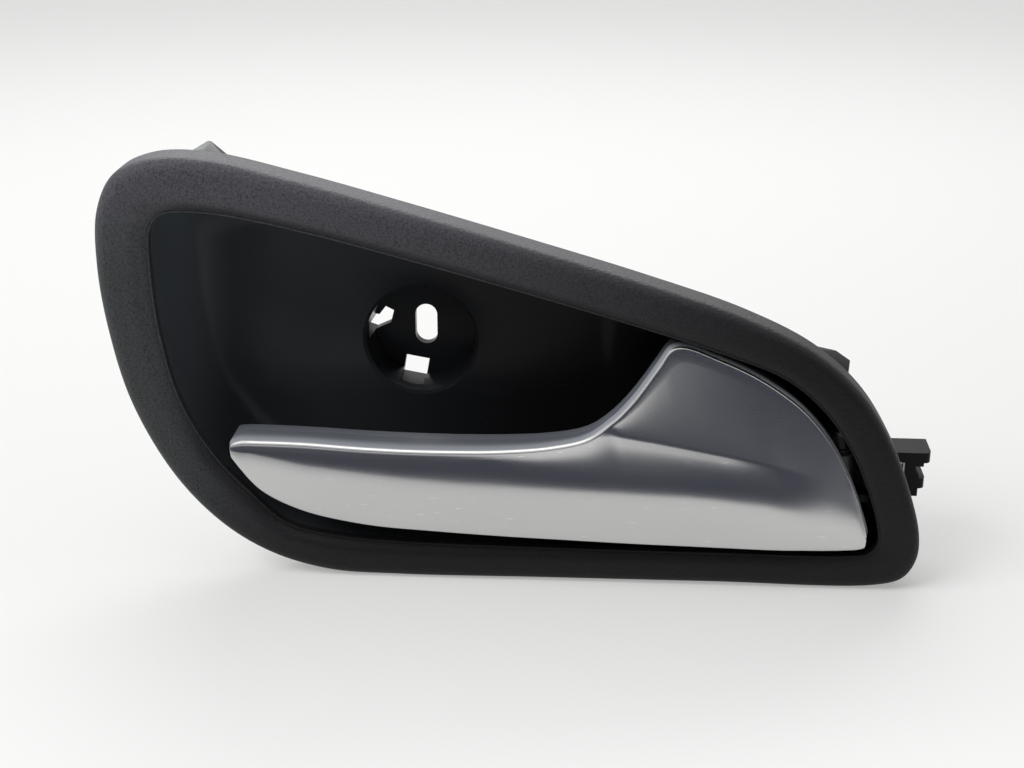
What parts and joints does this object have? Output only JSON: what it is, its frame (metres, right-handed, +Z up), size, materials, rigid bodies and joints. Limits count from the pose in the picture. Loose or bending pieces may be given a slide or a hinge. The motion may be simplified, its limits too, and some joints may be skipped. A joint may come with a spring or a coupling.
{
  "type": "car interior door handle",
  "caption": "Interior door pull handle: grained surround, finger bowl with a screw recess, and a satin chrome lever on an upright sprung hinge.",
  "frame": {"origin": "middle of the screw slot on the rear seat face of the screw boss", "axes": "+X along the handle towards the hinge, -Y towards the cabin, +Z up as fitted in the door"},
  "size_m": [0.1924, 0.043, 0.1008],
  "materials": {
    "grained_plastic": "fine grained charcoal moulding",
    "gloss_black": "semi-gloss black moulding",
    "satin_chrome": "satin plated",
    "dark_grey": "smooth dark grey moulding",
    "steel": "plain turned steel",
    "spring_steel": "blackened pin and spring wire",
    "nylon": "black moulded bush",
    "rubber": "matt black rubber",
    "felt": "charcoal felt"
  },
  "bodies": {
    "housing": {"bezel": "grained_plastic", "carrier": "gloss_black", "hinge_pin": "spring_steel", "pin_retainer": "spring_steel", "return_spring": "spring_steel", "rest_buffer": "rubber", "open_buffer": "rubber", "felt_upper": "felt", "felt_lower": "felt", "felt_left": "felt"},
    "lever": {"lever_shell": "satin_chrome", "lever_core": "dark_grey", "core_screws": "steel", "lower_bush": "nylon", "upper_bush": "nylon"}
  },
  "joints": [
    {"name": "lever_pivot", "type": "hinge", "parent": "housing", "child": "lever", "pos_m": [0.099, -0.0332, 0], "axis": [0, 0, 1], "range_deg": [0, 32], "stiffness_Nm_per_rad": 0.08, "springref_deg": -28.65, "deforming": ["return_spring"]}
  ]
}
